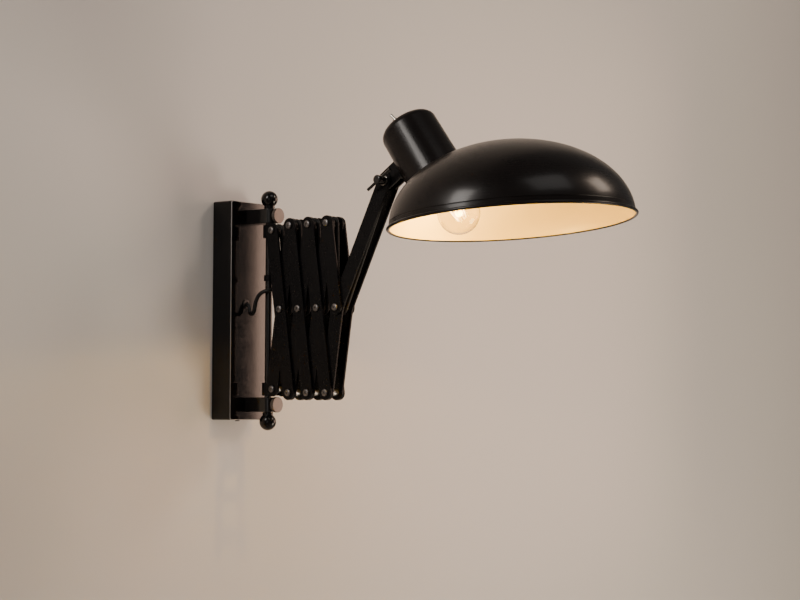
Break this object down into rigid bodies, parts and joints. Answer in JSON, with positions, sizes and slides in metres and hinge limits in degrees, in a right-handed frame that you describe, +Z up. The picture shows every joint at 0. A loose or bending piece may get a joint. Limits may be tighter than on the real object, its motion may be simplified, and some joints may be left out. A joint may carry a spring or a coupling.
{
  "type": "accordion wall lamp",
  "caption": "Wall lamp with a box, a vertical rod, a scissor of flat links, a bent arm and a tilting dome shade on an angled neck.",
  "frame": {"origin": "centre of the back plate face that lies on the wall", "axes": "+Z up, +Y into the wall, +X right when facing the wall; the lamp reaches out along -Y"},
  "size_m": [0.3138, 0.6249, 0.417],
  "materials": {
    "black_gloss": "gloss",
    "black_satin": "satin",
    "zinc_plate": "satin",
    "steel": "satin",
    "nickel": "polished",
    "cord_black": "matte",
    "phenolic": "gloss",
    "bulb_glass": "clear",
    "shade_paint": "satin"
  },
  "bodies": {
    "wall_box": {"back_plate": "zinc_plate", "box_cover": "black_gloss", "box_screws": "steel", "upper_bracket": "black_satin", "lower_bracket": "black_satin", "cord_grommet": "cord_black", "lead_cord": "cord_black"},
    "upper_thumb": {"upper_thumb_screw": "black_satin"},
    "lower_thumb": {"lower_thumb_screw": "black_satin"},
    "swivel": {"swivel_rod": "black_satin", "upper_ball": "black_gloss", "lower_ball": "black_gloss", "upper_yoke": "black_satin", "cord_clip": "black_satin", "upper_anchor_pivot": "steel", "riser_cord": "cord_black"},
    "lower_collar": {"lower_yoke": "black_satin", "lower_anchor_pivot": "steel"},
    "falling_1": {"falling_1_left": "black_satin", "falling_1_right": "black_satin", "falling_1_pivots": "steel", "falling_1_cord": "cord_black"},
    "rising_1": {"rising_1_left": "black_satin", "rising_1_right": "black_satin", "rising_1_pivots": "steel", "rising_1_cord": "cord_black"},
    "falling_2": {"falling_2_left": "black_satin", "falling_2_right": "black_satin", "falling_2_pivots": "steel", "falling_2_cord": "cord_black"},
    "rising_2": {"rising_2_left": "black_satin", "rising_2_right": "black_satin", "rising_2_pivots": "steel", "rising_2_cord": "cord_black"},
    "falling_3": {"falling_3_left": "black_satin", "falling_3_right": "black_satin", "falling_3_pivots": "steel", "falling_3_cord": "cord_black"},
    "rising_3": {"rising_3_left": "black_satin", "rising_3_right": "black_satin", "rising_3_pivots": "steel", "rising_3_cord": "cord_black"},
    "half_link": {"half_link_left": "black_satin", "half_link_right": "black_satin", "half_link_pivots": "steel", "half_link_cord": "cord_black"},
    "arm": {"arm_left": "black_satin", "arm_right": "black_satin", "arm_pivots": "steel", "arm_cord": "cord_black"},
    "tommy": {"tommy_screw": "black_satin"},
    "head": {"knuckle": "black_satin", "lampholder_cup": "shade_paint", "toggle_switch": "nickel", "lampholder": "phenolic", "shade": "shade_paint", "bulb_glass": "bulb_glass", "bulb_cap": "nickel", "head_cord": "cord_black"},
    "toggle": {"toggle_lever": "nickel"}
  },
  "joints": [
    {"name": "swivel", "type": "hinge", "parent": "wall_box", "child": "swivel", "pos_m": [0, -0.067, 0], "axis": [0, 0, 1], "range_deg": [-70, 70], "deforming": ["riser_cord", "lead_cord"]},
    {"name": "upper_thumb_turn", "type": "hinge", "parent": "wall_box", "child": "upper_thumb", "pos_m": [0, -0.085, 0.129], "axis": [0, -1, 0], "range_deg": [0, 360]},
    {"name": "lower_thumb_turn", "type": "hinge", "parent": "wall_box", "child": "lower_thumb", "pos_m": [0, -0.085, -0.129], "axis": [0, -1, 0], "range_deg": [0, 360]},
    {"name": "extend", "type": "hinge", "parent": "swivel", "child": "falling_1", "pos_m": [0, -0.084, 0.108], "axis": [-1, 0, 0], "range_deg": [-2.5, 40], "deforming": ["falling_1_cord"]},
    {"name": "crossing_1", "type": "hinge", "parent": "falling_1", "child": "rising_1", "pos_m": [0, -0.09949, 0.00011], "axis": [-1, 0, 0], "range_deg": [-80.5, 5.5], "deforming": ["rising_1_cord"]},
    {"name": "lower_anchor", "type": "hinge", "parent": "rising_1", "child": "lower_collar", "pos_m": [0, -0.084, -0.10779], "axis": [-1, 0, 0], "range_deg": [-3, 40.5]},
    {"name": "top_1", "type": "hinge", "parent": "rising_1", "child": "falling_2", "pos_m": [0, -0.11569, 0.11295], "axis": [-1, 0, 0], "range_deg": [-5.5, 80.5], "deforming": ["falling_2_cord"]},
    {"name": "crossing_2", "type": "hinge", "parent": "falling_2", "child": "rising_2", "pos_m": [0, -0.13189, 0.00011], "axis": [-1, 0, 0], "range_deg": [-80.5, 5.5], "deforming": ["rising_2_cord"]},
    {"name": "top_2", "type": "hinge", "parent": "rising_2", "child": "falling_3", "pos_m": [0, -0.14809, 0.11295], "axis": [-1, 0, 0], "range_deg": [-5.5, 80.5], "deforming": ["falling_3_cord"]},
    {"name": "crossing_3", "type": "hinge", "parent": "falling_3", "child": "rising_3", "pos_m": [0, -0.16429, 0.00011], "axis": [-1, 0, 0], "range_deg": [-80.5, 5.5], "deforming": ["rising_3_cord"]},
    {"name": "top_3", "type": "hinge", "parent": "rising_3", "child": "half_link", "pos_m": [0, -0.18049, 0.11295], "axis": [-1, 0, 0], "range_deg": [-5.5, 80.5], "deforming": ["half_link_cord"]},
    {"name": "crossing_4", "type": "hinge", "parent": "half_link", "child": "arm", "pos_m": [0, -0.19669, 0.00011], "axis": [-1, 0, 0], "range_deg": [-80.5, 5.5], "deforming": ["arm_cord"]},
    {"name": "tommy_turn", "type": "hinge", "parent": "arm", "child": "tommy", "pos_m": [-0.024, -0.2749, 0.16334], "axis": [-1, 0, 0], "range_deg": [-180, 180]},
    {"name": "head_tilt", "type": "hinge", "parent": "arm", "child": "head", "pos_m": [0, -0.2749, 0.16334], "axis": [-1, 0, 0], "range_deg": [-35, 45], "deforming": ["head_cord"]},
    {"name": "toggle_flip", "type": "hinge", "parent": "head", "child": "toggle", "pos_m": [-0.019, -0.30002, 0.23904], "axis": [-1, 0, 0], "range_deg": [-24, 0]}
  ],
  "couplings": [
    {"joint": "crossing_1", "follows": "extend", "ratio": -2},
    {"joint": "lower_anchor", "follows": "extend", "ratio": 1},
    {"joint": "top_1", "follows": "extend", "ratio": 2},
    {"joint": "crossing_2", "follows": "extend", "ratio": -2},
    {"joint": "top_2", "follows": "extend", "ratio": 2},
    {"joint": "crossing_3", "follows": "extend", "ratio": -2},
    {"joint": "top_3", "follows": "extend", "ratio": 2},
    {"joint": "crossing_4", "follows": "extend", "ratio": -2}
  ]
}
